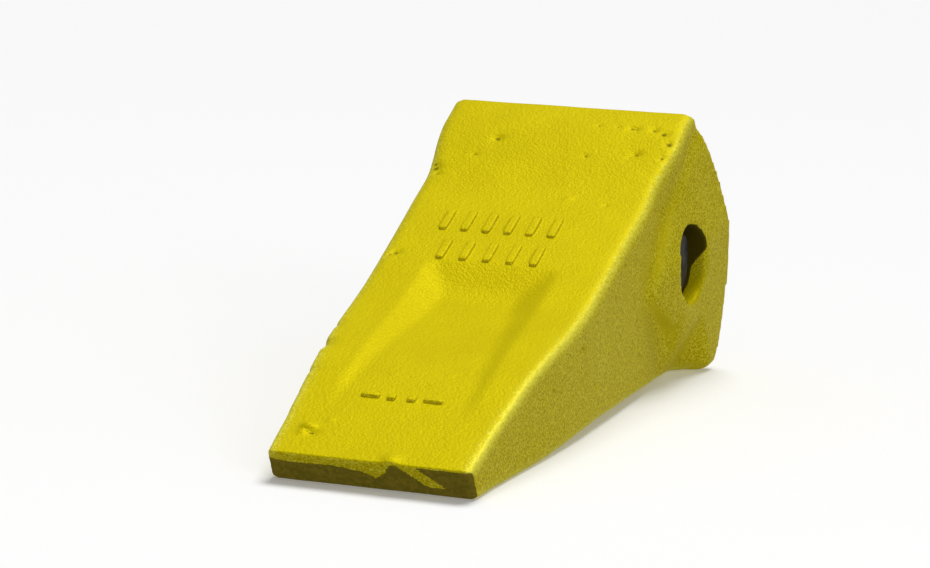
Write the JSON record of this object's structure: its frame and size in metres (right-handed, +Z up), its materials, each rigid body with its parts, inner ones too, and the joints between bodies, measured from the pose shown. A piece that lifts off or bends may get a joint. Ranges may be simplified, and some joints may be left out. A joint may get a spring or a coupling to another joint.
{
  "type": "excavator bucket tooth",
  "caption": "Cast steel wedge tooth for an excavator bucket, with a tapered nose socket, flared ears and a sprung cross pin.",
  "frame": {"origin": "middle of the footprint, on the ground", "axes": "+X across the tooth along the pin, tip towards -Y, socket mouth towards +Y, +Z up with the tooth lying on its lower face"},
  "size_m": [0.1386, 0.3074, 0.1198],
  "materials": {
    "yellow_paint": "thick yellow paint over a rough sand casting",
    "pin_steel": "turned, oiled dark steel",
    "lock_rubber": "matt black rubber",
    "tongue_steel": "pressed spring steel"
  },
  "bodies": {
    "tooth": {"tooth_casting": "yellow_paint"},
    "pin": {"retaining_pin": "pin_steel", "lock_cushion": "lock_rubber"},
    "tongue": {"lock_tongue": "tongue_steel"}
  },
  "joints": [
    {"name": "pin_drive", "type": "slide", "parent": "tooth", "child": "pin", "axis": [-1, 0, 0], "range_m": [0, 0.15]},
    {"name": "tongue_press", "type": "slide", "parent": "pin", "child": "tongue", "axis": [0, 0, -1], "range_m": [0, 0.002], "stiffness_N_per_m": 20000, "deforming": ["lock_cushion"]}
  ]
}
